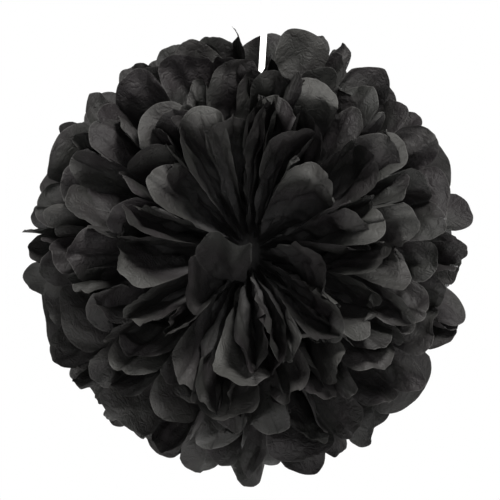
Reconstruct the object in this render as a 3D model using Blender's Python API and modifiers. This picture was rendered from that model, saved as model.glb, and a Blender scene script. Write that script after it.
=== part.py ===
"""Tissue paper pom pom, hung on a narrow ribbon.

Ten tissue sheets are folded together into an accordion of sixteen strips, the
strip ends are cut round, the stack is tied at its middle, and both ends are
fanned out.  The sheets are then pulled apart, five to the front and five to the
back, so each one becomes a pleated rosette of thirty-two petals and together
they make a ball.

Frame: origin at the tie in the middle of the ball, +Z up along the ribbon,
-Y towards the front rosette, +X right.  Metres.
"""

import math

import bmesh
import bpy

# ---------------------------------------------------------------- dimensions
SHEETS = 10  # sheets in the stack, half of them to each side
STRIPS = 16  # accordion strips across one sheet
STRIP_W = 0.031  # width of one strip, fold to fold
STRIP_L = 0.2520  # length of a strip, tip to tip, which sets the ball's size
TIP_DEPTH = 0.0120  # how far the round end of a strip stands past its folds
PAPER_T = 0.00036  # sheet thickness as built
WAIST_H = 0.0035  # half height of the gathered waist
WAIST_PITCH = 0.0008  # from sheet to sheet in the tied stack
BEND_START = 0.0026  # straight stretch of sheet under the tie
BEND_R = 0.0030  # radius of the tightest bend out of the tie
SEAM_HALF = 0.0026  # half the slit between left and right fan at top and bottom
BARE = 0.0060  # stretch next to the tie where the paper lies bunched, without pleats
CRUSH = 1.3  # steepest zigzag, half its height over the spacing of its folds
FULL_WIDTH_AT = 0.060  # distance from the tie where a strip is open to its full width

# Mean opening of each sheet from the front pole, in degrees, front to middle.
OPENING = (25.0, 40.5, 55.5, 69.5, 83.0)

WIRE_R = 0.0005  # tie wire
RIBBON_W = 0.0034
RIBBON_T = 0.0004
KNOT_R = (0.0021, 0.0013, 0.0016)
GAP = 0.0003  # between touching pieces
TOP_KNOT_Z = 0.1530
LOOP_H = 0.0190
LOOP_W = 0.0095

PAPER = (0.018, 0.018, 0.017, 1.0)
WHITE = (0.86, 0.86, 0.85, 1.0)
STEEL = (0.55, 0.55, 0.56, 1.0)

# Rows of vertices along half a strip, from the tie to the folds' outer ends.
ROWS = (0.0030, 0.0095, 0.0220, 0.0620)


def clear_scene():
    for ob in list(bpy.data.objects):
        bpy.data.objects.remove(ob, do_unlink=True)


def material(name, colour, roughness, metallic=0.0):
    mat = bpy.data.materials.new(name)
    mat.use_nodes = True
    bsdf = mat.node_tree.nodes["Principled BSDF"]
    bsdf.inputs["Base Color"].default_value = colour
    bsdf.inputs["Roughness"].default_value = roughness
    bsdf.inputs["Metallic"].default_value = metallic
    return mat


def smooth(x):
    x = min(1.0, max(0.0, x))
    return x * x * (3.0 - 2.0 * x)


def seam_half_gap(s):
    """Half the slit between the left and right fan, where tie and ribbon pass."""
    return SEAM_HALF * min(1.0, s / 0.0030)


def meridian(index, s):
    """Run of a front sheet in the half plane (distance from the fan's axis, y).

    The sheet leaves the tie flat, bends around a centre that all the sheets of
    its side share, and goes on straight at its own opening angle.
    Returns rho, y and the unit normal on the side of the front pole.
    """
    turn = math.radians(90.0 - OPENING[index])
    y0 = -WAIST_PITCH * (SHEETS / 2 - 0.5 - index)
    radius = BEND_R + WAIST_PITCH * index
    if s <= BEND_START:
        return s, y0, (0.0, -1.0)
    arc = radius * turn
    a = min(turn, (s - BEND_START) / radius)
    rho = BEND_START + radius * math.sin(a)
    y = y0 - radius * (1.0 - math.cos(a))
    rest = s - BEND_START - arc
    if rest > 0.0:
        rho += rest * math.cos(turn)
        y -= rest * math.sin(turn)
    return rho, y, (-math.sin(a), -math.cos(a))


def pleat_height(index, s, rho):
    """Half the height of the zigzag that keeps every strip at its own width.

    Near the tie the strips are gathered, so the zigzag is lower there.
    """
    width = STRIP_W * smooth((s - BARE) / (FULL_WIDTH_AT - BARE)) ** 0.8
    step = math.pi / STRIPS
    chord = 2.0 * rho * math.sin(step / 2.0)
    open_height = 0.5 * math.sqrt(max(width * width - chord * chord, 0.0))
    return min(open_height, CRUSH * chord)


def zigzag(u):
    """+1 on even folds, -1 on odd folds, straight between them."""
    f = (u / STRIP_W) % 2.0
    return 1.0 - 2.0 * f if f < 1.0 else -3.0 + 2.0 * f


def fold_out(sheet, u, v):
    """Where a point of the flat sheet, u across the strips and v along them, ends up."""
    front = sheet < SHEETS // 2
    index = sheet if front else SHEETS - 1 - sheet
    s = abs(v)
    rho, y, (n_rho, n_y) = meridian(index, s)
    side = 1.0 if v >= 0.0 else -1.0
    t = u / (STRIPS * STRIP_W)
    slit = math.asin(min(1.0, seam_half_gap(s) / rho)) if rho > 1e-6 else 0.0
    phi = (math.pi / 2.0 - slit) * (1.0 - 2.0 * t)
    lift = pleat_height(index, s, rho) * zigzag(u) * (1.0 if front else -1.0)
    rho += n_rho * lift
    y += n_y * lift
    x = side * rho * math.cos(phi)
    z = rho * math.sin(phi) + WAIST_H * (1.0 - 2.0 * t)
    return x, (y if front else -y), z


def tissue_sheet(sheet, collection):
    """One tissue sheet: a flat grid, one column a strip, with the round ends cut,
    then folded and fanned, and given its thickness."""
    name = "sheet_%02d" % (sheet + 1)
    width = STRIPS * STRIP_W
    half = STRIP_L / 2.0
    lines = [-half + TIP_DEPTH] + [-r for r in reversed(ROWS)]
    lines = lines + [0.0] + [-v for v in reversed(lines)]
    bm = bmesh.new()
    bmesh.ops.create_grid(bm, x_segments=STRIPS, y_segments=len(lines) - 1, size=0.5)
    for v in bm.verts:
        v.co.x = (v.co.x + 0.5) * width
        v.co.y = lines[int(round((v.co.y + 0.5) * (len(lines) - 1)))]
    # the free ends of the strips get three more points each, on a round outline
    ends = [
        e
        for e in bm.edges
        if abs(e.verts[0].co.y - e.verts[1].co.y) < 1e-7
        and abs(abs(e.verts[0].co.y) - lines[-1]) < 1e-7
    ]
    bmesh.ops.subdivide_edges(bm, edges=ends, cuts=3)
    for v in bm.verts:
        if abs(abs(v.co.y) - lines[-1]) < 1e-7:
            across = 2.0 * ((v.co.x / STRIP_W) % 1.0) - 1.0
            across = -1.0 if abs(abs(across) - 1.0) < 1e-4 else across
            out = TIP_DEPTH * math.sqrt(max(0.0, 1.0 - across * across))
            v.co.y = math.copysign(lines[-1] + out, v.co.y)
    for v in bm.verts:
        v.co = fold_out(sheet, v.co.x, v.co.y)
    # the panels between folds are slightly twisted, so they get their diagonals
    # here, and both faces of the paper then share them
    bmesh.ops.triangulate(bm, faces=bm.faces, quad_method="SHORT_EDGE")
    bmesh.ops.recalc_face_normals(bm, faces=bm.faces)
    mesh = bpy.data.meshes.new(name)
    bm.to_mesh(mesh)
    bm.free()
    ob = bpy.data.objects.new(name, mesh)
    collection.objects.link(ob)
    mesh.materials.append(material(name + "_tissue", PAPER, 0.85))
    thick = ob.modifiers.new("paper", "SOLIDIFY")
    thick.thickness = PAPER_T
    thick.offset = 0.0
    thick.use_even_offset = False
    return ob


def wire_tie(collection):
    """Loop of thin wire round the gathered waist, in the plane between the fans."""
    half_z = WAIST_H + 0.00055 + GAP + WIRE_R
    half_y = WAIST_PITCH * (SHEETS / 2 - 0.5) + PAPER_T / 2 + 2 * GAP + WIRE_R
    corner = 0.0018
    points = []
    for cx, cz, start in ((1, 1, 0), (-1, 1, 90), (-1, -1, 180), (1, -1, 270)):
        for step in range(6):
            a = math.radians(start + step * 18.0)
            points.append(
                (
                    0.0,
                    cx * (half_y - corner) + corner * math.cos(a),
                    cz * (half_z - corner) + corner * math.sin(a),
                )
            )
    curve = bpy.data.curves.new("tie_wire", "CURVE")
    curve.dimensions = "3D"
    curve.bevel_depth = WIRE_R
    curve.bevel_resolution = 2
    line = curve.splines.new("POLY")
    line.points.add(len(points) - 1)
    for p, co in zip(line.points, points):
        p.co = (*co, 1.0)
    line.use_cyclic_u = True
    ob = bpy.data.objects.new("tie_wire", curve)
    collection.objects.link(ob)
    curve.materials.append(material("tie_wire_steel", STEEL, 0.35, 1.0))
    return half_z + WIRE_R


def knot(name, z, collection):
    bpy.ops.mesh.primitive_uv_sphere_add(segments=12, ring_count=8, radius=1.0)
    ob = bpy.context.active_object
    ob.name = name
    ob.data.name = name
    for v in ob.data.vertices:
        v.co.x *= KNOT_R[0]
        v.co.y *= KNOT_R[1]
        v.co.z *= KNOT_R[2]
    ob.data.shade_smooth()
    ob.location = (0.0, 0.0, z)
    for c in list(ob.users_collection):
        c.objects.unlink(ob)
    collection.objects.link(ob)
    ob.data.materials.append(material(name + "_ribbon", WHITE, 0.45))
    return ob


def ribbon(bottom, top, collection):
    bpy.ops.mesh.primitive_cube_add(size=1.0)
    ob = bpy.context.active_object
    ob.name = "ribbon"
    ob.data.name = "ribbon"
    for v in ob.data.vertices:
        v.co.x *= RIBBON_W
        v.co.y *= RIBBON_T
        v.co.z *= top - bottom
    ob.location = (0.0, 0.0, (top + bottom) / 2.0)
    for c in list(ob.users_collection):
        c.objects.unlink(ob)
    collection.objects.link(ob)
    ob.data.materials.append(material("ribbon_satin", WHITE, 0.45))


def hanging_loop(bottom, collection):
    """The ribbon's end, doubled back on itself above the top knot to hang it by."""
    bm = bmesh.new()
    ring = bmesh.ops.create_circle(bm, segments=20, radius=1.0)["verts"]
    for v in ring:
        a = math.atan2(v.co.y, v.co.x)
        up = 0.5 + 0.5 * math.sin(a)
        v.co = (
            -RIBBON_W / 2.0,
            0.5 * LOOP_W * math.cos(a) * (0.35 + 0.65 * smooth(up)),
            bottom + LOOP_H * up,
        )
    band = bmesh.ops.extrude_edge_only(bm, edges=list(bm.edges))["geom"]
    for v in band:
        if isinstance(v, bmesh.types.BMVert):
            v.co.x = RIBBON_W / 2.0
    bmesh.ops.recalc_face_normals(bm, faces=bm.faces)
    mesh = bpy.data.meshes.new("hanging_loop")
    bm.to_mesh(mesh)
    bm.free()
    ob = bpy.data.objects.new("hanging_loop", mesh)
    collection.objects.link(ob)
    mesh.materials.append(material("hanging_loop_ribbon", WHITE, 0.45))
    thick = ob.modifiers.new("thickness", "SOLIDIFY")
    thick.thickness = RIBBON_T
    thick.offset = 0.0
    thick.use_even_offset = True


def main():
    clear_scene()
    parts = bpy.data.collections.new("tissue_paper_pom_pom")
    bpy.context.scene.collection.children.link(parts)
    for sheet in range(SHEETS):
        tissue_sheet(sheet, parts)
    wire_top = wire_tie(parts)
    low = wire_top + GAP + KNOT_R[2]
    knot("ribbon_knot", low, parts)
    knot("top_knot", TOP_KNOT_Z, parts)
    ribbon(low + KNOT_R[2] + GAP, TOP_KNOT_Z - KNOT_R[2] - GAP, parts)
    hanging_loop(TOP_KNOT_Z + KNOT_R[2] + GAP + RIBBON_T / 2.0, parts)


main()
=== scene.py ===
"""Looks of the tissue paper pom pom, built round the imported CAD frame.

Every tissue sheet is modelled as one continuous folded sheet: sixteen strips
wide, tied in the middle, both ends fanned out, with its own folds, petal tips,
creases and curls.  Lengths inside the sheet code are in millimetres.
"""

import math

import bpy
import numpy as np
from mathutils import Matrix, Vector


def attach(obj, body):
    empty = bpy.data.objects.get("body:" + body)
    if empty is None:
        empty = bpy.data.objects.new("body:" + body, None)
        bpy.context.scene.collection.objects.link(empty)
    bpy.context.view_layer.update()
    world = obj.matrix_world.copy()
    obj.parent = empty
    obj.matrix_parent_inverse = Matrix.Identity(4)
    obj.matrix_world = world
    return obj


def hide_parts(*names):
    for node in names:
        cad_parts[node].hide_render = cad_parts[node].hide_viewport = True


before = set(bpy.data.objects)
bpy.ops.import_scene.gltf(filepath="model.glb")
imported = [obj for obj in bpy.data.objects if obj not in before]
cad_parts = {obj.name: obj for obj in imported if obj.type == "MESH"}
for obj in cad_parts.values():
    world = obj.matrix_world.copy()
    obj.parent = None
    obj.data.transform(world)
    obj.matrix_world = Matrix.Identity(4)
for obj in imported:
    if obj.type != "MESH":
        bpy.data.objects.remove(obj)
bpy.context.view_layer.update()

MM = 0.001

# ------------------------------------------------------------------ dimensions
SHEETS = 10
STRIPS = 16
STRIP_W = 31.0
STRIP_L = 252.0
TIP_DEPTH = 13.0
WAIST_H = 3.5
WAIST_PITCH = 0.8
BEND_START = 2.6
BEND_R = 4.5
SLIT_HALF = 0.56  # half the slit round the tie wire
KNOT_HALF = 2.5  # and in the middle sheets round the ribbon's knot
RIBBON_W = 3.4
RIBBON_T = 0.3
# the ribbon's route from the tie to the top knot, as the CAD solids have it
RIBBON_LOW = 0.0091
RIBBON_HIGH = 0.1511

# mean opening of each sheet from the front pole, front to back, degrees
OPENING = [27.0, 36.0, 46.0, 57.0, 71.0, 93.0, 106.0, 119.0, 133.0, 148.0]
# how far each sheet's seam lies off the middle, degrees, at the top and at the bottom
TOP_SEAM = [2.5, -3.0, 3.0, 0.0, 0.0, 4.0, -6.0, 6.0, -5.0, 5.0]
LOW_SEAM = [-4.0, 5.0, -7.0, 8.0, -6.0, 6.0, -8.0, 7.0, -5.0, 4.0]
# where each sheet's slit may close again, distance from the tie, at the top
CLOSE_AT = [5.0, 5.0, 5.0, 10.0, 26.0, 14.0, 10.0, 5.0, 5.0, 5.0]
# petals that stand out at the front: sheet, azimuth, opening, curl at the tip,
# width in degrees (0 keeps it), extra length
PETALS = [
    (0, 124, 30.0, -4, 12, 0), (0, 147, 19.0, -16, 30, 0), (0, 238, 22.0, 0, 12, 0),
    (0, 172, 24.0, -6, 16, 0), (0, 195, 28.0, -6, 28, 0), (0, 86, 33.0, 0, 9, 0),
    (0, 222, 31.5, 4, 13, 0), (0, 43, 18.5, -14, 34, 0), (0, 69, 29.0, 10, 20, 0),
    (0, -12, 14.5, -8, 34, 0), (0, -73, 25.0, 6, 12, 0),
    (1, 113, 26.0, -26, 24, 0), (1, 140, 33.5, 8, 24, 0), (1, 170, 24.5, -14, 22, 0),
    (1, 186, 51.0, -4, 20, 0), (1, 250, 35.5, -6, 20, 0), (1, -86, 30.0, -8, 28, 0),
    (1, -2, 32.0, -6, 18, 0), (1, 13, 30.0, -20, 20, 0), (1, -45, 25.0, -4, 20, 0),
    (2, 128, 33.5, -28, 24, 0), (2, 186, 57.0, 0, 12, 0), (2, 229, 39.5, -10, 20, 0),
    (2, 269, 44.0, 4, 24, 0), (2, -65, 35.0, -8, 19, 0), (2, -47, 39.0, -6, 16, 0),
    (2, 12, 42.0, -20, 16, 0), (2, 68, 43.0, -26, 20, 0),
    (3, 175, 54.0, -16, 10, 0), (3, 189, 64.0, 0, 12, 0), (3, 249, 47.0, -8, 18, 0),
    (3, -57, 40.0, -6, 9, 0), (3, -36, 48.0, -8, 16, 0), (3, -15, 50.5, -6, 16, 0),
    (3, 37, 48.0, -20, 15, 0), (3, 56, 56.0, -16, 15, 0),
    (4, 104, 70.0, 12, 13, -4), (4, 109, 61.5, -10, 14, 0), (4, 35, 73.0, 4, 13, 0),
    (4, 78, 77.0, 0, 15, 0),
    (5, 69, 88.0, 0, 7, 0),
]
# petals that lean in over the well, away from the fan: sheet, half and strip, then
# three points of the middle line with their distances from the tie, and the tilt
FLAPS = {
    (0, 1, 15): (((12.0, (-2.0, -13.0, -6.5)), (55.0, (-5.0, -52.0, -13.0)), (121.0, (-8.5, -113.0, 3.0))), 4.0, 1.0),
}
# petals whose ends carry a stronger painted highlight (1), paler than the rest, or none, painted shade (-1), darker
# than the rest
PAINTED_TIP_LIGHTS = {
    (0, 195): 1, (0, 43): 1, (0, 147): 1, (1, 113): 1, (2, 128): 1, (1, 250): 1, (1, -86): 1,
    (1, 13): 1, (2, 12): 1, (2, 68): 1, (2, 229): 1, (2, 269): 1, (2, -47): 1, (3, 249): 1,
    (3, 37): 1, (4, 78): 1, (0, 222): 1, (3, 175): 1,
    (0, 172): -1, (1, 186): -1, (2, 186): -1, (0, 124): -1, (0, 86): -1, (1, 170): -1,
    (4, 104): -1, (3, 189): -1, (0, -73): -1, (3, 56): -1,
}
# columns a strip and rows a half strip
FINE = [(20, 74)] * 5 + [(18, 60)] * 5


# ----------------------------------------------------------------- small maths
def smooth(x):
    x = np.clip(x, 0.0, 1.0)
    return x * x * (3.0 - 2.0 * x)


class Noise:
    """Smooth value noise on a wrapped lattice of seeded random values."""

    def __init__(self, seed, size=64):
        self.size = size
        self.table = np.random.RandomState(seed).uniform(-1.0, 1.0, (size, size))

    def __call__(self, x, y):
        xi = np.floor(x).astype(int)
        yi = np.floor(y).astype(int)
        fx = x - xi
        fy = y - yi
        fx = fx * fx * fx * (fx * (fx * 6 - 15) + 10)
        fy = fy * fy * fy * (fy * (fy * 6 - 15) + 10)
        n = self.size
        t = self.table
        a = t[xi % n, yi % n]
        b = t[(xi + 1) % n, yi % n]
        c = t[xi % n, (yi + 1) % n]
        d = t[(xi + 1) % n, (yi + 1) % n]
        return (a * (1 - fx) + b * fx) * (1 - fy) + (c * (1 - fx) + d * fx) * fy


def petal_places(k, side, start, stop, rng):
    """Azimuths of a half sheet's folds.  Wide strips, which face outwards, take
    turns with narrow ones, which are tucked in behind them."""
    wide_first = (k + side) % 2 == 0
    rho = 10.0 + 108.0 * math.sin(math.radians(OPENING[k]))
    full = 2.0 * math.degrees(math.asin(min(0.95, 0.45 * STRIP_W / rho)))
    pair = (start - stop) / 8.0
    share = {3: 0.95, 4: 0.92, 5: 0.90, 6: 0.92, 7: 0.95}.get(k, 1.0)
    centre = start - (np.arange(8) + 0.5) * pair + rng.uniform(-0.22, 0.22, 8) * pair
    width = np.minimum(full * share, 1.7 * pair) * rng.uniform(0.62, 1.06, 8)
    notes = {}
    for kk, az, opening, curl, wide, more in PETALS:
        if kk != k:
            continue
        # how much painted highlight, or painted shade, the petal's end takes
        tone = PAINTED_TIP_LIGHTS.get((kk, az), 0)
        az = (az + 180.0) % 360.0 - 180.0
        right = -90.0 < az < 90.0
        if right != (side == 0):
            continue
        if not right:
            az = 180.0 - az if az > 0 else -180.0 - az
        free = [m for m in range(8) if m not in notes]
        m = min(free, key=lambda j: abs(centre[j] - az))
        centre[m] = az
        if wide:
            width[m] = wide
        notes[m] = (opening, curl, more, tone)
    fold = np.empty(STRIPS + 1)
    fold[0], fold[-1] = start, stop
    first = 0 if wide_first else 1
    for m in range(8):
        fold[first + 2 * m] = centre[m] + width[m] / 2.0
        fold[first + 2 * m + 1] = centre[m] - width[m] / 2.0
    chosen = {first + 2 * m: v for m, v in notes.items()}
    return fold, chosen, first


def crumple(u, v, rng, count, size, depth, sharp):
    """Creases: ridges with a sharp crown, each along its own short line."""
    out = np.zeros_like(u)
    cu = rng.uniform(u.min(), u.max(), count)
    cv = rng.uniform(10.0, STRIP_L / 2.0, count) * np.where(rng.uniform(size=count) < 0.5, 1, -1)
    ang = rng.normal(math.pi / 2, 0.62, count)
    half = rng.uniform(0.5, 1.5, count) * size
    amp = rng.uniform(0.35, 1.0, count) * depth * np.where(rng.uniform(size=count) < 0.5, 1, -1)
    wid = rng.uniform(0.6, 1.5, count) * sharp
    for k in range(count):
        du, dv = u - cu[k], v - cv[k]
        ca, sa = math.cos(ang[k]), math.sin(ang[k])
        along = np.abs(du * ca + dv * sa) / half[k]
        across = np.abs(-du * sa + dv * ca) / wid[k]
        near = (along < 1.0) & (across < 5.0)
        if not near.any():
            continue
        a, b = along[near], across[near]
        out[near] += amp[k] * np.exp(-b) * (1.0 - a * a) ** 2
    return out


def triangle_wave(x):
    return 4.0 * np.abs(x - np.floor(x + 0.5)) - 1.0


def facets(u, v, rng, count, low, high, slope):
    """Flat facets with sharp creases between them, as crushed paper keeps them:
    bent triangle waves in several directions, stronger in some places."""
    out = np.zeros_like(u)
    for _ in range(count):
        period = rng.uniform(low, high)
        ang = rng.uniform(0.0, math.pi)
        bend = Noise(rng.randint(1 << 30))
        where = Noise(rng.randint(1 << 30))
        run = (u * math.cos(ang) + v * math.sin(ang)) / period + rng.uniform()
        run = run + 0.45 * bend(0.55 * u / period, 0.55 * v / period)
        amp = 0.25 * slope * period * smooth(0.45 + 0.9 * where(u / 34.0, v / 34.0))
        out += amp * triangle_wave(run)
    return out


# ----------------------------------------------------------------- the sheets
def sheet_points(k, rng, where=None):
    """Grid of points of one sheet, rows along the strips and columns across them."""
    nc, nr = FINE[k]
    cols = STRIPS * nc + 1
    u = np.linspace(0.0, STRIPS * STRIP_W, cols)
    front = k < SHEETS // 2
    index = k if front else SHEETS - 1 - k
    y0 = WAIST_PITCH * (k - (SHEETS / 2 - 0.5))
    local = (u / STRIP_W) % 1.0
    panel = np.minimum((u / STRIP_W).astype(int), STRIPS - 1)
    local = np.where(u >= STRIPS * STRIP_W - 1e-6, 1.0, local)
    fold_u = np.arange(STRIPS + 1) * STRIP_W
    mid_u = (np.arange(STRIPS) + 0.5) * STRIP_W
    near_tie = np.array([0.0, 0.4, 0.8, 1.3, 1.86, 2.02])  # rows close together there
    rows = np.linspace(0.0, 1.0, nr + 2 - len(near_tie)) ** 0.95
    halves = []
    for side in (0, 1):
        mirror = 1.0 if side == 0 else -1.0
        seam_gap = rng.uniform(0.2, 0.8, 2)
        start = 90.0 + mirror * TOP_SEAM[k] - seam_gap[0]
        stop = -90.0 + mirror * LOW_SEAM[k] + seam_gap[1]
        azim, chosen, first = petal_places(k, side, start, stop, rng)
        even = 90.0 - np.arange(STRIPS + 1) * 180.0 / STRIPS
        # opening of each petal, and what the folds between them take from it
        spread = [3.0, 3.6, 4.0, 4.4, 4.6, 4.6, 4.4, 4.0, 3.6, 3.0][k]
        open_p = OPENING[k] + rng.uniform(-spread, spread, STRIPS)
        length_p = STRIP_L / 2.0 + rng.uniform(-3.5, 1.0, STRIPS)
        curl_p = rng.uniform(-22.0, 30.0, STRIPS)  # degrees at the tip
        sway_p = rng.uniform(-7.0, 7.0, STRIPS)  # degrees of azimuth at the tip
        bulge_p = rng.uniform(-1.0, 1.0, STRIPS)
        if k < 3:  # the rest of a front sheet stands back from the petals named above
            open_p += rng.uniform(1.0, 8.0, STRIPS)
        # the end of some petals is bent back along a sharp crease
        ends = np.random.RandomState(7000 + 2 * k + side)
        some = ends.uniform(size=STRIPS) < (0.4 if k < 4 else 0.0)
        snap_p = np.where(some, -ends.uniform(20.0, 60.0, STRIPS), 0.0)
        snap_at = ends.uniform(9.0, 16.0, STRIPS)
        snap_lean = ends.uniform(-3.5, 3.5, STRIPS)
        # painted shade on the rim's ends, which are duller, apart from those low on the left, which get a painted
        # highlight where the light falls on them
        painted_tip_light_p = np.full(STRIPS, 0.0 if k < 3 else -0.6)
        if k >= 3 and side == 1:
            painted_tip_light_p[8:15] = 0.5
        # the petals named above take their painted highlight or painted shade at the ends from the table
        for i, (opening_i, curl_i, more, tone) in chosen.items():
            painted_tip_light_p[i] = tone
            open_p[i] = opening_i
            curl_p[i] = curl_i
            snap_p[i] = -38.0 if curl_i <= -14 else 0.0
            length_p[i] = STRIP_L / 2.0 - 0.5 + more
            sway_p[i] = 0.0
        if where is not None:
            where.append((side, azim, first, list(chosen)))
        # a tucked-in strip goes with the faces beside it
        for i in range(STRIPS):
            if (i - first) % 2:
                near_p = [j for j in (i - 1, i + 1) if 0 <= j < STRIPS]
                open_p[i] = np.mean([open_p[j] for j in near_p]) + rng.uniform(-2.0, 2.0)
                length_p[i] -= rng.uniform(0.0, 6.0)

        # fold ends and the round outline of every strip's end
        fold_len = np.empty(STRIPS + 1)
        fold_len[1:-1] = 0.5 * (length_p[1:] + length_p[:-1])
        fold_len[0], fold_len[-1] = length_p[0], length_p[-1]
        across = 2.0 * local - 1.0
        round_p = ends.uniform(1.25, 2.7, STRIPS)[panel]
        lopsided = across + ends.uniform(-0.28, 0.28, STRIPS)[panel] * (1.0 - across**2)
        if k == 4:  # beside the ribbon the cut runs up to a point
            lopsided = np.where((panel == 0) & (side == 1), local, lopsided)
            round_p = np.where((panel == 0) & (side == 1), 1.1, round_p)
        s_end = (
            np.interp(u, fold_u, fold_len)
            - TIP_DEPTH
            + TIP_DEPTH * np.sqrt(np.maximum(0.0, 1.0 - np.abs(lopsided) ** round_p))
            + (length_p[panel] - np.interp(u, fold_u, fold_len)) * (1.0 - across**2)
        )
        # scissors never cut sixteen layers quite evenly
        s_end = s_end + 0.7 * Noise(900 + 2 * k + side)(u / 6.0, u * 0.0) * (1.0 - across**6)
        s = np.vstack(
            [
                np.repeat(near_tie[:, None], cols, axis=1),
                3.4 + rows[:, None] * (s_end[None, :] - 3.4),
            ]
        )

        # a petal is one face from fold to fold; the tucked-in strips join them up
        def over(values):
            at_fold = np.empty(STRIPS + 1)
            at_fold[0], at_fold[-1] = values[0], values[-1]
            for i in range(first, STRIPS, 2):
                at_fold[i] = at_fold[i + 1] = values[i]
            return np.interp(u, fold_u, at_fold)[None, :]

        irregular = smooth((s - 14.0) / 62.0)
        az = np.interp(u, fold_u, even)[None, :] * (1 - irregular) + np.interp(
            u, fold_u, azim
        )[None, :] * irregular
        far = np.clip((s - 40.0) / 86.0, 0.0, 1.0)
        az = az + over(sway_p) * far**2
        opening = OPENING[k] + (over(open_p) - OPENING[k]) * smooth((s - 10.0) / 50.0)
        curl = over(curl_p) * np.clip((s - 66.0) / 60.0, 0, 1) ** 2
        crease = snap_lean[panel] * across - snap_at[panel] + length_p[panel]
        curl = curl + over(snap_p) * smooth((s - crease[None, :]) / 4.5)
        tau = 90.0 - opening + curl * (1 if front else -1)
        turn0 = abs(90.0 - OPENING[k])
        radius = BEND_R + WAIST_PITCH * index
        bend = np.clip((s - BEND_START) / (radius * math.radians(turn0)), 0.0, 1.0)
        alpha = np.radians(tau) * bend
        # run the strip out from the tie
        ds = np.diff(s, axis=0)
        ca = np.cos(0.5 * (alpha[1:] + alpha[:-1]))
        sa = np.sin(0.5 * (alpha[1:] + alpha[:-1]))
        rho = np.vstack([np.zeros((1, cols)), np.cumsum(ca * ds, axis=0)])
        y = y0 - np.vstack([np.zeros((1, cols)), np.cumsum(sa * ds, axis=0)])

        # pleats: the wider neighbour of each fold says how high the fold stands
        width = STRIP_W * smooth((s - 4.0) / 44.0) ** 0.8
        step = np.abs(np.diff(azim))
        wide_step = np.empty(STRIPS + 1)
        wide_step[1:-1] = np.maximum(step[1:], step[:-1])
        wide_step[0], wide_step[-1] = step[0], step[-1]
        wide = np.interp(u, fold_u, wide_step)[None, :]
        wide = 11.25 * (1 - irregular) + wide * irregular
        chord = np.maximum(rho, 0.0) * np.radians(wide)
        reach = 0.5 * np.sqrt(np.maximum(width**2 - chord**2, (0.22 * width) ** 2))
        reach = np.minimum(reach, 2.6 * np.maximum(rho, 0) * math.radians(11.25))
        sign = np.where(np.arange(STRIPS + 1) % 2 == 0, 1.0, -1.0)
        fold_amp = sign * rng.uniform(0.75, 1.2, STRIPS + 1)
        if not front:  # the free edge strip at the top lies flat, behind the ribbon
            fold_amp[0] = -0.9
            if k == 5 and side == 0:
                fold_amp[1] = 0.5
        zig = np.interp(u, fold_u, fold_amp)[None, :]
        lift = reach * zig
        # what is left of a strip's width bows out between its folds
        narrow = np.interp(u, mid_u, step)[None, :]
        here = np.maximum(rho, 0.0) * np.radians(11.25 * (1 - irregular) + narrow * irregular)
        straight = np.sqrt(here**2 + (2 * reach) ** 2)
        spare = np.clip(width - straight, 0.0, 12.0)
        bow = np.sqrt(0.375 * np.maximum(straight, 1.0) * spare) * 0.8
        bow = bow * bulge_p[panel][None, :] * np.sin(math.pi * local)[None, :]
        cup = 2.2 * bulge_p[panel][None, :] * np.sin(math.pi * local)[None, :] * far
        lift = lift + np.clip(bow, -6.0, 6.0) * smooth((s - 20) / 50.0) + cup

        n_rho, n_y = -np.sin(alpha), -np.cos(alpha)
        rho2 = rho + n_rho * lift
        y2 = y + n_y * lift
        # the slit for the tie, which closes again further out, and stays open at
        # the top of the middle sheets where the ribbon shows
        wide_slit = (az > 0.0) & (k in (3, 4, 5, 6))
        half_gap = np.where(wide_slit, KNOT_HALF, SLIT_HALF)
        shut = np.where(wide_slit, CLOSE_AT[k], 1.87)
        gap = half_gap * np.clip((s - 0.4) / 0.4, 0.0, 1.0)
        lap = (0.7 if k % 2 else -0.7) * mirror
        gap = gap + (lap - half_gap) * smooth((s - shut) / np.where(wide_slit, 3.0, 0.1))
        gap = gap - 60.0 * smooth((s - 22.0 - shut) / 30.0)
        if k in (3, 4):
            from_s = 106.0 if k == 3 else 97.0
            opened = 3.6 * smooth((s - from_s) / 9.0) - 8.0 * (1 - smooth((s - from_s + 8) / 12.0))
            gap = np.where((az > 0.0) & (s > 60.0), opened, gap)
        phi = np.radians(az)
        x = rho2 * np.cos(phi)
        z = rho2 * np.sin(phi)
        near = smooth((s - 0.0) / 30.0)
        # keep the slit open where the tie and the ribbon pass
        x = np.where(s < 1e-6, 0.0, np.maximum(x, gap))
        for (kk, at_side, i), (line, tilt, pocket) in FLAPS.items():
            if kk != k or at_side != side:
                continue
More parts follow.
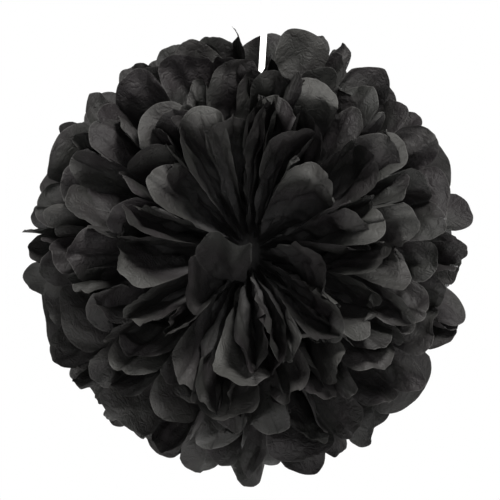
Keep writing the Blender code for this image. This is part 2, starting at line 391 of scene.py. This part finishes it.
            # painted shade: the flap and the strip before it lose the painted highlight at their ends
            painted_tip_light_p[i - 1 : i + 1] = -1
            mine = np.interp(u / STRIP_W, [i - 1.0, i, i + 1.0, i + 2.0], [0.0, 1.0, 1.0, 0.0])
            mine = mine[None, :] * smooth((s - 8.0) / 30.0)
            over_w = np.clip(2.0 * (u / STRIP_W - i) - 1.0, -1.0, 1.0)[None, :]
            (s0, p0), (s1, p1), (s2, p2) = line
            l0 = (s - s1) * (s - s2) / ((s0 - s1) * (s0 - s2))
            l1 = (s - s0) * (s - s2) / ((s1 - s0) * (s1 - s2))
            l2 = (s - s0) * (s - s1) / ((s2 - s0) * (s2 - s1))
            half_w = 0.49 * STRIP_W * np.clip(s / 116.0, 0.0, 1.0) ** 1.15 * over_w
            dip = pocket * (1.0 - over_w**2) - 2.6 * np.cos(4.19 * (over_w + 0.37)) * smooth((s - 45.0) / 60.0)
            free = [l0 * a + l1 * b + l2 * c for a, b, c in zip(p0, p1, p2)]
            free[0] = free[0] + half_w * math.cos(math.radians(tilt))
            free[2] = free[2] + half_w * math.sin(math.radians(tilt)) - 0.9 * dip
            free[1] = free[1] - 0.4 * dip
            x = x * (1 - mine) + mirror * free[0] * mine
            y2 = y2 * (1 - mine) + free[1] * mine
            z = z * (1 - mine) + free[2] * mine
        z = z + WAIST_H * (1.0 - 2.0 * u / (STRIPS * STRIP_W))[None, :] * (1 - 0.0 * near)
        flat_u = np.broadcast_to(u[None, :], s.shape)
        # each strip's painted highlight or painted shade at its end goes along with the flat coordinates
        tone = np.broadcast_to(painted_tip_light_p[panel][None, :], s.shape)
        halves.append((x if side == 0 else -x, y2, z, flat_u, s if side == 0 else -s, tone))

    # one grid for the whole sheet: left tip, tie, right tip
    pts, flat = [], []
    for half in (1, 0):
        x, y, z, fu, fv, ft = halves[half]
        p = np.stack([x, y, z], axis=-1)
        f = np.stack([fu, fv, ft], axis=-1)
        if half == 1:
            p, f = p[::-1], f[::-1]
            pts.append(p)
            flat.append(f)
        else:
            pts.append(p[1:])
            flat.append(f[1:])
    return np.concatenate(pts), np.concatenate(flat), nc


def grid_normals(p):
    a = np.gradient(p, axis=0)
    b = np.gradient(p, axis=1)
    n = np.cross(a, b)
    return n / np.maximum(np.linalg.norm(n, axis=-1, keepdims=True), 1e-9)


def wrinkled(p, flat, k, rng):
    """Adds the creases and crinkles of handled tissue along the sheet's normals."""
    n = grid_normals(p)
    u, v = flat[..., 0], flat[..., 1]
    d = crumple(u, v, rng, 150, 26.0, 1.5, 5.0)
    d += crumple(u, v, rng, 420, 15.0, 0.7, 2.6)
    n1 = Noise(100 + k)
    n2 = Noise(200 + k)
    warp = 3.0 * n2(u / 17.0, v / 21.0)
    d += 0.45 * (1.0 - 2.0 * np.abs(n1((u + warp) / 9.0, (v + warp) / 22.0)))
    outer = smooth((np.abs(v) - 40.0) / 60.0) * (0.2 if k < 2 else 0.6)
    d += facets(u, v, rng, 4, 16.0, 34.0, 0.15) * (1.0 + 0.5 * outer)
    d += facets(u, v, rng, 3, 6.0, 13.0, 0.085) * (1.0 + 1.6 * outer)
    # long creases left by the folding, and waves along the free edges
    across = 2.0 * ((u / STRIP_W) % 1.0) - 1.0
    strip = np.minimum((u / STRIP_W).astype(int), STRIPS - 1)
    for half in (0, 1):
        here = (v > 0) == (half == 0)
        for i in range(STRIPS):
            for _ in range(3):
                at, lean, depth = rng.uniform(-0.6, 0.6), rng.uniform(-0.5, 0.5), rng.uniform(-1.5, 1.5)
                mine = here & (strip == i)
                w = np.abs(across[mine] - at - lean * (np.abs(v[mine]) / 126.0 - 0.5)) * STRIP_W / 2.0
                d[mine] += depth * np.exp(-w / 2.2) * (1.0 - across[mine] ** 2) * smooth(np.abs(v[mine]) / 70.0)
    rim = np.clip((np.abs(v) - 84.0) / 42.0, 0.0, 1.0) ** 1.6
    d += 2.0 * rim * n1(u / 15.0 + 7.3, v / 26.0 + 3.1)
    away = smooth((np.abs(v) - 12.0) / 40.0)
    return p + n * (d * away)[..., None]


def grid_mesh(name, p, flat, nc, shift):
    rows, cols = p.shape[:2]
    mesh = bpy.data.meshes.new(name)
    mesh.vertices.add(rows * cols)
    mesh.vertices.foreach_set("co", (p.reshape(-1, 3) * MM).astype(np.float32).ravel())
    i = np.arange(rows - 1)[:, None] * cols + np.arange(cols - 1)[None, :]
    quads = np.stack([i, i + 1, i + cols + 1, i + cols], axis=-1).reshape(-1, 4)
    mesh.loops.add(quads.size)
    mesh.loops.foreach_set("vertex_index", quads.ravel().astype(np.int32))
    mesh.polygons.add(len(quads))
    mesh.polygons.foreach_set("loop_start", (np.arange(len(quads)) * 4).astype(np.int32))
    mesh.update(calc_edges=True)
    uv = mesh.uv_layers.new(name="flat")
    f = flat[..., :2].reshape(-1, 2)[quads.ravel()] / 100.0 + np.array([shift, 0.0])
    uv.data.foreach_set("uv", f.astype(np.float32).ravel())
    # distance from the nearest fold and from the cut edge, in centimetres
    u, v = flat[..., 0], flat[..., 1]
    local = u / STRIP_W - np.floor(u / STRIP_W)
    to_fold = np.minimum(local, 1.0 - local) * STRIP_W
    end = np.where(v >= 0, v.max(axis=0)[None, :], -v.min(axis=0)[None, :])
    to_edge = np.minimum(end - np.abs(v), np.minimum(u, STRIPS * STRIP_W - u))
    near = np.stack([to_fold, to_edge], axis=-1) / 10.0
    uv2 = mesh.uv_layers.new(name="edges")
    uv2.data.foreach_set("uv", near.reshape(-1, 2)[quads.ravel()].astype(np.float32).ravel())
    # the painted highlight or painted shade at the ends is set by whole strips, so a face takes it from the column
    # where it starts
    uv3 = mesh.uv_layers.new(name="tone")
    start = np.repeat(quads[:, 0], 4)
    tone = 0.5 + 0.5 * flat[..., 2].reshape(-1)[start]
    uv3.data.foreach_set("uv", np.stack([tone, tone * 0.0], axis=-1).astype(np.float32).ravel())
    mesh.polygons.foreach_set("use_smooth", np.ones(len(quads), bool))
    edges = np.empty(len(mesh.edges) * 2, np.int32)
    mesh.edges.foreach_get("vertices", edges)
    edges = edges.reshape(-1, 2)
    col = edges % cols
    fold = (col[:, 0] == col[:, 1]) & (col[:, 0] % nc == 0)
    sharp = mesh.attributes.new("sharp_edge", "BOOLEAN", "EDGE")
    sharp.data.foreach_set("value", fold)
    mesh.validate()
    mesh.update()
    return mesh


# ------------------------------------------------------------------ materials
def node(nt, kind, **inputs):
    n = nt.nodes.new(kind)
    for key, value in inputs.items():
        n.inputs[key.replace("_", " ")].default_value = value
    return n


def tissue_material():
    mat = bpy.data.materials.new("tissue_paper_charcoal")
    mat.use_nodes = True
    nt = mat.node_tree
    bsdf = nt.nodes["Principled BSDF"]
    bsdf.inputs["Roughness"].default_value = 0.62
    bsdf.inputs["Specular IOR Level"].default_value = 0.15
    uv = nt.nodes.new("ShaderNodeUVMap")
    uv.uv_map = "flat"
    # cloudy dye and a few paler rubbed places
    cloud = node(nt, "ShaderNodeTexNoise", Scale=5.0, Detail=5.0, Roughness=0.6)
    nt.links.new(uv.outputs["UV"], cloud.inputs["Vector"])
    ramp = nt.nodes.new("ShaderNodeValToRGB")
    ramp.color_ramp.elements[0].position = 0.32
    ramp.color_ramp.elements[0].color = (0.0058, 0.0056, 0.0056, 1)
    ramp.color_ramp.elements[1].position = 0.72
    ramp.color_ramp.elements[1].color = (0.0096, 0.0094, 0.0092, 1)
    nt.links.new(cloud.outputs["Fac"], ramp.inputs["Fac"])
    # paper fibres, long and short
    fibre = node(nt, "ShaderNodeTexNoise", Scale=140.0, Detail=3.0, Roughness=0.7)
    nt.links.new(uv.outputs["UV"], fibre.inputs["Vector"])
    mix = nt.nodes.new("ShaderNodeMix")
    mix.data_type = "RGBA"
    mix.blend_type = "MULTIPLY"
    mix.inputs[0].default_value = 0.35
    nt.links.new(ramp.outputs["Color"], mix.inputs[6])
    nt.links.new(fibre.outputs["Fac"], mix.inputs[7])
    # painted highlight: the colour is painted paler along the folds and at the cut edge, where light catches them
    near = nt.nodes.new("ShaderNodeUVMap")
    near.uv_map = "edges"
    parts = nt.nodes.new("ShaderNodeSeparateXYZ")
    nt.links.new(near.outputs["UV"], parts.inputs[0])
    # a warmer and a greener cast in large patches
    cast = node(nt, "ShaderNodeTexNoise", Scale=2.9, Detail=2.0, Roughness=0.5)
    nt.links.new(uv.outputs["UV"], cast.inputs["Vector"])
    hue = nt.nodes.new("ShaderNodeValToRGB")
    hue.color_ramp.elements[0].position = 0.38
    hue.color_ramp.elements[0].color = (1.0, 0.865, 0.945, 1)
    hue.color_ramp.elements[1].position = 0.62
    hue.color_ramp.elements[1].color = (0.90, 0.93, 0.865, 1)
    nt.links.new(cast.outputs["Fac"], hue.inputs["Fac"])
    dyed = nt.nodes.new("ShaderNodeMix")
    dyed.data_type = "RGBA"
    dyed.blend_type = "MULTIPLY"
    dyed.inputs[0].default_value = 1.0
    nt.links.new(mix.outputs[2], dyed.inputs[6])
    nt.links.new(hue.outputs["Color"], dyed.inputs[7])
    # painted fill light: near the tie, deep in the dark well, the sheet is painted paler than on its outer half,
    # lifting the shade there
    out = nt.nodes.new("ShaderNodeSeparateXYZ")
    nt.links.new(uv.outputs["UV"], out.inputs[0])
    size = nt.nodes.new("ShaderNodeMath")
    size.operation = "ABSOLUTE"
    nt.links.new(out.outputs["Y"], size.inputs[0])
    well_fill_amount = nt.nodes.new("ShaderNodeMapRange")
    well_fill_amount.interpolation_type = "SMOOTHSTEP"
    well_fill_amount.inputs["From Min"].default_value = 0.50
    well_fill_amount.inputs["From Max"].default_value = 1.05
    well_fill_amount.inputs["To Min"].default_value = 0.85
    well_fill_amount.inputs["To Max"].default_value = 0.0
    nt.links.new(size.outputs["Value"], well_fill_amount.inputs["Value"])
    painted_well_fill = nt.nodes.new("ShaderNodeMix")
    painted_well_fill.data_type = "RGBA"
    nt.links.new(well_fill_amount.outputs["Result"], painted_well_fill.inputs[0])
    nt.links.new(dyed.outputs[2], painted_well_fill.inputs[6])
    painted_well_fill.inputs[7].default_value = (0.0290, 0.0284, 0.0286, 1)
    # painted highlight: the ends are painted paler, some more than others, where light catches the tips
    ends = nt.nodes.new("ShaderNodeMapRange")
    ends.interpolation_type = "SMOOTHSTEP"
    ends.inputs["From Min"].default_value = 0.0
    ends.inputs["From Max"].default_value = 2.6
    ends.inputs["To Min"].default_value = 1.0
    ends.inputs["To Max"].default_value = 0.0
    nt.links.new(parts.outputs["Y"], ends.inputs["Value"])
    which = node(nt, "ShaderNodeTexNoise", Scale=2.3, Detail=1.5, Roughness=0.5)
    nt.links.new(uv.outputs["UV"], which.inputs["Vector"])
    some = nt.nodes.new("ShaderNodeMapRange")
    some.inputs["From Min"].default_value = 0.40
    some.inputs["From Max"].default_value = 0.66
    some.inputs["To Min"].default_value = 0.0
    some.inputs["To Max"].default_value = 0.46
    nt.links.new(which.outputs["Fac"], some.inputs["Value"])
    # each strip's share of the painted highlight, or painted shade, at its ends
    painted_tip_light_uv = nt.nodes.new("ShaderNodeUVMap")
    painted_tip_light_uv.uv_map = "tone"
    tone = nt.nodes.new("ShaderNodeSeparateXYZ")
    nt.links.new(painted_tip_light_uv.outputs["UV"], tone.inputs[0])
    level = nt.nodes.new("ShaderNodeMapRange")
    level.inputs["To Min"].default_value = -0.5
    level.inputs["To Max"].default_value = 0.5
    nt.links.new(tone.outputs["X"], level.inputs["Value"])
    both = nt.nodes.new("ShaderNodeMath")
    both.operation = "ADD"
    both.use_clamp = True
    nt.links.new(some.outputs["Result"], both.inputs[0])
    nt.links.new(level.outputs["Result"], both.inputs[1])
    pale = nt.nodes.new("ShaderNodeMath")
    pale.operation = "MULTIPLY"
    nt.links.new(ends.outputs["Result"], pale.inputs[0])
    nt.links.new(both.outputs["Value"], pale.inputs[1])
    painted_tip_highlight = nt.nodes.new("ShaderNodeMix")
    painted_tip_highlight.data_type = "RGBA"
    nt.links.new(pale.outputs["Value"], painted_tip_highlight.inputs[0])
    nt.links.new(painted_well_fill.outputs[2], painted_tip_highlight.inputs[6])
    painted_tip_highlight.inputs[7].default_value = (0.0205, 0.0202, 0.0190, 1)
    painted_highlights = painted_tip_highlight.outputs[2]
    # painted highlight: a paler colour along the folds (X) and at the cut edge (Y)
    for axis, reach, colour in (("X", 0.08, (0.020, 0.0193, 0.0188, 1)), ("Y", 0.06, (0.040, 0.0390, 0.0375, 1))):
        span = nt.nodes.new("ShaderNodeMapRange")
        span.interpolation_type = "SMOOTHSTEP"
        span.inputs["From Min"].default_value = 0.0
        span.inputs["From Max"].default_value = reach
        span.inputs["To Min"].default_value = 0.55
        span.inputs["To Max"].default_value = 0.0
        nt.links.new(parts.outputs[axis], span.inputs["Value"])
        blend = nt.nodes.new("ShaderNodeMix")
        blend.data_type = "RGBA"
        nt.links.new(span.outputs["Result"], blend.inputs[0])
        nt.links.new(painted_highlights, blend.inputs[6])
        blend.inputs[7].default_value = colour
        painted_highlights = blend.outputs[2]
    nt.links.new(painted_highlights, bsdf.inputs["Base Color"])
    # fine crinkle
    crinkle = node(nt, "ShaderNodeTexVoronoi", Scale=26.0)
    crinkle.feature = "DISTANCE_TO_EDGE"
    warp = node(nt, "ShaderNodeTexNoise", Scale=14.0, Detail=3.0)
    nt.links.new(uv.outputs["UV"], warp.inputs["Vector"])
    add = nt.nodes.new("ShaderNodeVectorMath")
    add.operation = "MULTIPLY_ADD"
    add.inputs[1].default_value = (0.12, 0.12, 0.0)
    nt.links.new(warp.outputs["Color"], add.inputs[0])
    nt.links.new(uv.outputs["UV"], add.inputs[2])
    nt.links.new(add.outputs[0], crinkle.inputs["Vector"])
    bump = node(nt, "ShaderNodeBump", Strength=0.7, Distance=0.0010)
    nt.links.new(crinkle.outputs["Distance"], bump.inputs["Height"])
    grain = node(nt, "ShaderNodeTexNoise", Scale=60.0, Detail=6.0, Roughness=0.75)
    nt.links.new(uv.outputs["UV"], grain.inputs["Vector"])
    bump2 = node(nt, "ShaderNodeBump", Strength=0.75, Distance=0.0005)
    nt.links.new(grain.outputs["Fac"], bump2.inputs["Height"])
    nt.links.new(bump.outputs["Normal"], bump2.inputs["Normal"])
    nt.links.new(bump2.outputs["Normal"], bsdf.inputs["Normal"])
    return mat


def ribbon_material():
    mat = bpy.data.materials.new("ribbon_white_satin")
    mat.use_nodes = True
    nt = mat.node_tree
    bsdf = nt.nodes["Principled BSDF"]
    bsdf.inputs["Roughness"].default_value = 0.42
    bsdf.inputs["Sheen Weight"].default_value = 0.25
    coord = nt.nodes.new("ShaderNodeTexCoord")
    stretch = nt.nodes.new("ShaderNodeMapping")
    stretch.inputs["Scale"].default_value = (1.0, 1.0, 8.0)
    nt.links.new(coord.outputs["Object"], stretch.inputs["Vector"])
    weave = node(nt, "ShaderNodeTexWave", Scale=900.0, Distortion=1.5, Detail=2.0)
    weave.bands_direction = "Z"
    nt.links.new(coord.outputs["Object"], weave.inputs["Vector"])
    tint = node(nt, "ShaderNodeTexNoise", Scale=160.0, Detail=3.0)
    nt.links.new(stretch.outputs["Vector"], tint.inputs["Vector"])
    ramp = nt.nodes.new("ShaderNodeValToRGB")
    ramp.color_ramp.elements[0].position = 0.3
    ramp.color_ramp.elements[0].color = (0.76, 0.765, 0.77, 1)
    ramp.color_ramp.elements[1].position = 0.7
    ramp.color_ramp.elements[1].color = (0.87, 0.87, 0.865, 1)
    nt.links.new(tint.outputs["Fac"], ramp.inputs["Fac"])
    nt.links.new(ramp.outputs["Color"], bsdf.inputs["Base Color"])
    bump = node(nt, "ShaderNodeBump", Strength=0.3, Distance=0.0001)
    nt.links.new(weave.outputs["Fac"], bump.inputs["Height"])
    nt.links.new(bump.outputs["Normal"], bsdf.inputs["Normal"])
    return mat


def wire_material():
    mat = bpy.data.materials.new("tie_wire_annealed_steel")
    mat.use_nodes = True
    nt = mat.node_tree
    bsdf = nt.nodes["Principled BSDF"]
    bsdf.inputs["Metallic"].default_value = 1.0
    coord = nt.nodes.new("ShaderNodeTexCoord")
    noise = node(nt, "ShaderNodeTexNoise", Scale=700.0, Detail=3.0)
    nt.links.new(coord.outputs["Object"], noise.inputs["Vector"])
    ramp = nt.nodes.new("ShaderNodeValToRGB")
    ramp.color_ramp.elements[0].color = (0.030, 0.030, 0.031, 1)
    ramp.color_ramp.elements[1].color = (0.075, 0.073, 0.072, 1)
    nt.links.new(noise.outputs["Fac"], ramp.inputs["Fac"])
    nt.links.new(ramp.outputs["Color"], bsdf.inputs["Base Color"])
    bsdf.inputs["Roughness"].default_value = 0.5
    return mat


TISSUE = tissue_material()
RIBBON = ribbon_material()
WIRE = wire_material()


# --------------------------------------------------------------------- ribbon
def strip_mesh(name, centre, across, half_w, half_t):
    """A thin flat band with a slightly crowned face, closed at both ends."""
    n = len(centre)
    prof = []
    for i in range(9):
        t = -1.0 + 2.0 * i / 8
        prof.append((t * half_w, half_t * (1.0 - 0.35 * abs(t) ** 3)))
    for i in range(9):
        t = 1.0 - 2.0 * i / 8
        prof.append((t * half_w, -half_t * (1.0 - 0.35 * abs(t) ** 3)))
    m = len(prof)
    verts, faces = [], []
    for i in range(n):
        c = Vector(centre[i])
        tan = Vector(centre[min(i + 1, n - 1)]) - Vector(centre[max(i - 1, 0)])
        tan.normalize()
        wdir = Vector(across[i])
        wdir = (wdir - tan * wdir.dot(tan)).normalized()
        ndir = tan.cross(wdir).normalized()
        for a, b in prof:
            verts.append(c + wdir * a + ndir * b)
    for i in range(n - 1):
        for j in range(m):
            k = (j + 1) % m
            faces.append((i * m + j, i * m + k, (i + 1) * m + k, (i + 1) * m + j))
    faces.append(tuple(reversed(range(m))))
    faces.append(tuple((n - 1) * m + j for j in range(m)))
    mesh = bpy.data.meshes.new(name)
    mesh.from_pydata([tuple(v) for v in verts], [], faces)
    mesh.polygons.foreach_set("use_smooth", np.ones(len(mesh.polygons), bool))
    mesh.set_sharp_from_angle(angle=math.radians(50))
    mesh.update()
    return mesh


def link(ob):
    bpy.context.scene.collection.objects.link(ob)
    return ob


# ---------------------------------------------------------------------- build
sheets = []
for k in range(SHEETS):
    rng = np.random.RandomState(4100 + 17 * k)
    pts, flat, nc = sheet_points(k, rng)
    pts = wrinkled(pts, flat, k, rng)
    ahead = np.maximum(-pts[..., 1] - 8.0, 0.0)
    pts[..., 0] -= 0.050 * ahead
    pts[..., 2] += 0.044 * ahead
    ob = link(bpy.data.objects.new("tissue_%02d" % (k + 1), grid_mesh("tissue_%02d" % (k + 1), pts, flat, nc, 7.3 * k)))
    ob.data.materials.append(TISSUE)
    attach(ob, "root")
    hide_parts("sheet_%02d" % (k + 1))
    sheets.append(ob)

path = []
for i in range(61):
    t = i / 60
    path.append((0.00025 * math.sin(5.0 * t), 0.0001 * math.sin(9.0 * t), RIBBON_LOW + (RIBBON_HIGH - RIBBON_LOW) * t))
turn = [(math.cos(0.10 * math.sin(6.0 * i / 60)), math.sin(0.10 * math.sin(6.0 * i / 60)), 0.0) for i in range(61)]
band = link(bpy.data.objects.new("ribbon_band", strip_mesh("ribbon_band", path, turn, RIBBON_W / 2 * MM, RIBBON_T / 2 * MM)))
band.data.materials.append(RIBBON)
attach(band, "root")
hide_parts("ribbon")

for name, mat in (("ribbon_knot", RIBBON), ("top_knot", RIBBON), ("hanging_loop", RIBBON), ("tie_wire", WIRE)):
    ob = bpy.data.objects[name]
    for slot in ob.material_slots:
        slot.material = mat

# ---------------------------------------------------------------------- stage
scene = bpy.context.scene
world = bpy.data.worlds.new("studio")
scene.world = world
world.use_nodes = True
world.node_tree.nodes["Background"].inputs["Color"].default_value = (1, 1, 1, 1)
# white behind the object, and a weaker light from all round
rays = world.node_tree.nodes.new("ShaderNodeLightPath")
level = world.node_tree.nodes.new("ShaderNodeMapRange")
level.inputs["To Min"].default_value = 0.40
level.inputs["To Max"].default_value = 1.0
world.node_tree.links.new(rays.outputs["Is Camera Ray"], level.inputs["Value"])
world.node_tree.links.new(level.outputs["Result"], world.node_tree.nodes["Background"].inputs["Strength"])

bpy.ops.mesh.primitive_plane_add(size=2.4, location=(0, 0.3, -0.42))
floor = bpy.context.active_object
floor.name = "floor"
fm = bpy.data.materials.new("floor_pale")
fm.use_nodes = True
fb = fm.node_tree.nodes["Principled BSDF"]
fb.inputs["Base Color"].default_value = (0.9, 0.9, 0.9, 1)
fb.inputs["Roughness"].default_value = 0.9
floor.data.materials.append(fm)


def area_light(name, place, target, size, power, colour=(1, 1, 1)):
    data = bpy.data.lights.new(name, "AREA")
    data.shape = "DISK"
    data.size = size
    data.energy = power
    data.color = colour
    ob = link(bpy.data.objects.new(name, data))
    ob.location = place
    ob.rotation_euler = (Vector(target) - Vector(place)).to_track_quat("-Z", "Y").to_euler()
    return ob


area_light("key", (0.32, -1.12, 1.30), (0, 0, 0), 0.5, 97.0, (1.0, 0.99, 0.965))
area_light("front", (0.15, -2.0, -0.05), (0, 0, 0), 1.3, 30.0)
area_light("back", (0.7, 1.7, 0.8), (0, 0, 0), 1.4, 75.0)

cam_data = bpy.data.cameras.new("photo_camera")
cam = link(bpy.data.objects.new("photo_camera", cam_data))
DISTANCE = 1.5
cam_data.sensor_width = 36.0
cam_data.sensor_fit = "HORIZONTAL"
cam_data.lens = 36.0 * DISTANCE / 0.278
cam.location = (0.0005, -DISTANCE, 0.0017)
aim = Matrix.Rotation(math.radians(90), 4, "X")
roll = Matrix.Rotation(math.radians(4.0), 4, "Z")
cam.matrix_world = Matrix.Translation(cam.location) @ aim @ roll
scene.camera = cam
scene.view_settings.view_transform = "Standard"

bpy.context.view_layer.update()
